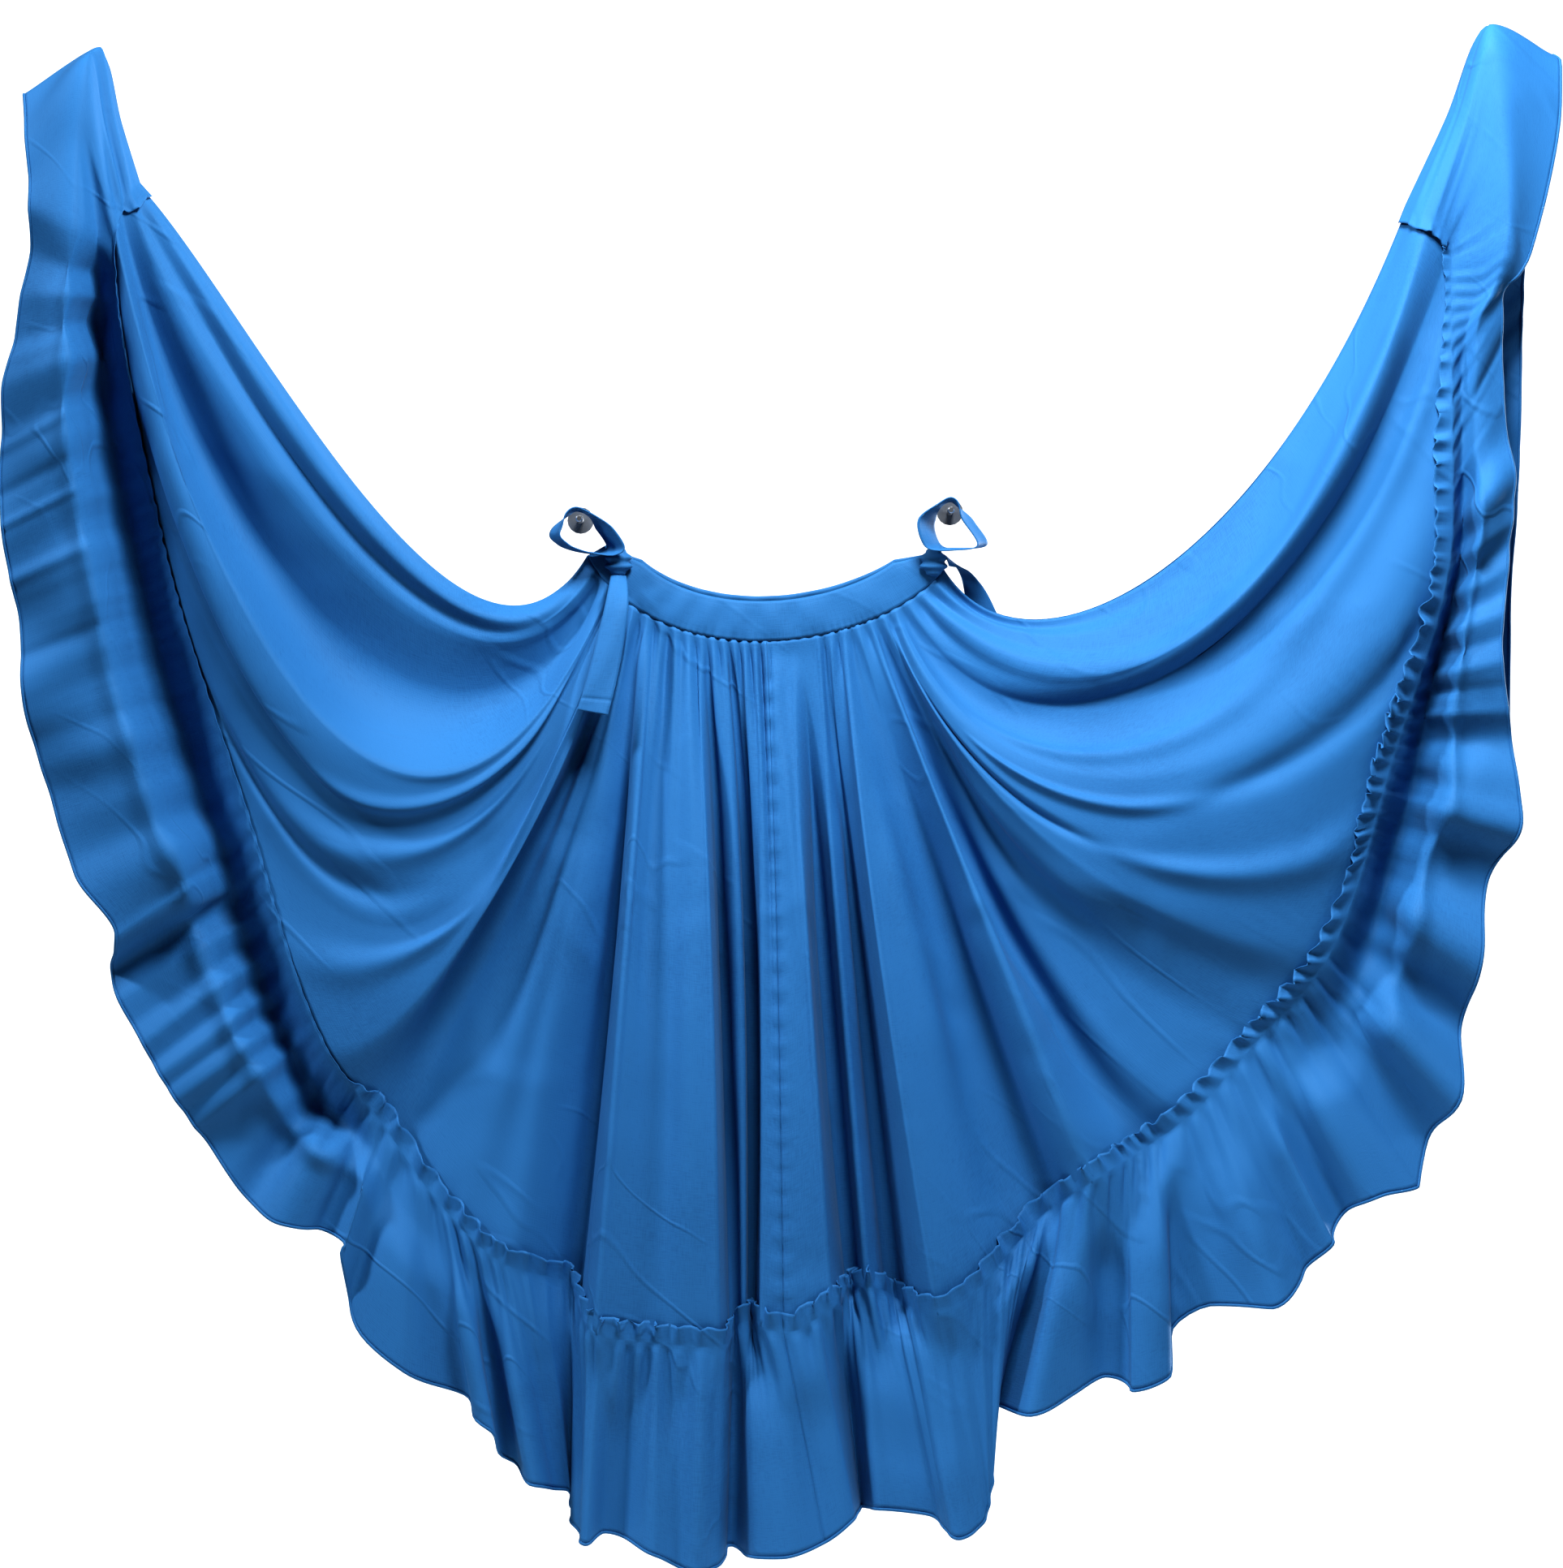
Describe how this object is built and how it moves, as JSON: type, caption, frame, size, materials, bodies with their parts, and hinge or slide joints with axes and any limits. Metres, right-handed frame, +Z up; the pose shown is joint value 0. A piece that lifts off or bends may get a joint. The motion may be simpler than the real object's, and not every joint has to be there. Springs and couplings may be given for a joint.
{
  "type": "circle skirt on wall pegs",
  "caption": "Full circle skirt with a gathered hem ruffle, hung by its waist ties and hitched hem from plain wall pegs.",
  "frame": {"origin": "on the wall, midway between the two waist pegs", "axes": "the wall is the plane y = 0; the front of the skirt faces -Y; +X is to the viewer's right; +Z is up"},
  "size_m": [1.6429, 0.1469, 1.622],
  "materials": {
    "cloth": "matte plain weave poly-cotton, cornflower blue",
    "peg_steel": "satin turned steel"
  },
  "bodies": {
    "root": {"panel_front_left": "cloth", "panel_front_right": "cloth", "panel_back_left": "cloth", "panel_back_right": "cloth", "ruffle_front_left": "cloth", "ruffle_front_right": "cloth", "ruffle_back_left": "cloth", "ruffle_back_right": "cloth", "waistband_front": "cloth", "waistband_back": "cloth", "tie_loop_left": "cloth", "tie_loop_right": "cloth", "tie_knot_left": "cloth", "tie_knot_right": "cloth", "tie_tail_left": "cloth", "tie_tail_right": "cloth", "peg_waist_left": "peg_steel", "peg_waist_right": "peg_steel", "peg_hem_left": "peg_steel", "peg_hem_right": "peg_steel"}
  },
  "joints": []
}
